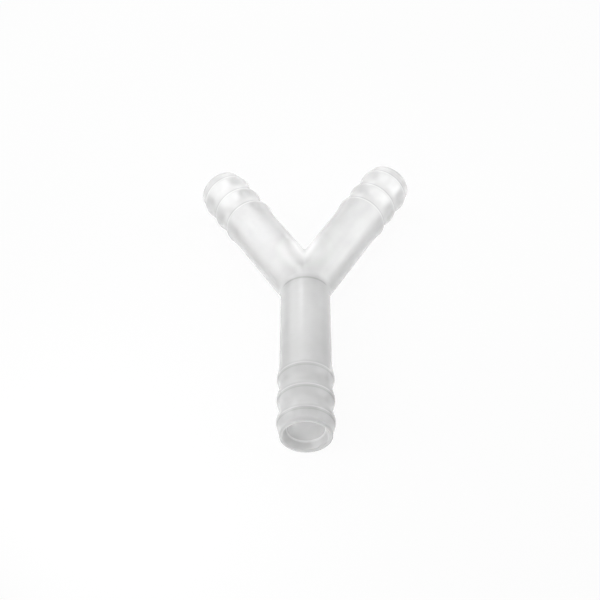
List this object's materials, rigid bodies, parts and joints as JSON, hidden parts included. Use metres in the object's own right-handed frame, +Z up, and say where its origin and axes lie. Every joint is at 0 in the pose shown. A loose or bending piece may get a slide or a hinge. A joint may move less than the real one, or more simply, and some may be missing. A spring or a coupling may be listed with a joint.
{
  "type": "y tube connector",
  "caption": "Hollow Y-shaped hose connector in translucent plastic: equal legs with low barbs and open mouths, bores meeting at the junction.",
  "frame": {"origin": "on the resting plane, under the middle of the bounding box", "axes": "+Z up from the plane it lies on; the stem points to -Y and the two arms lean to either side of +Y, so the part mirrors itself across X"},
  "size_m": [0.0456, 0.0722, 0.0107],
  "materials": {
    "natural_plastic": "natural translucent polypropylene, satin"
  },
  "bodies": {
    "root": {"y_connector": "natural_plastic"}
  },
  "joints": []
}
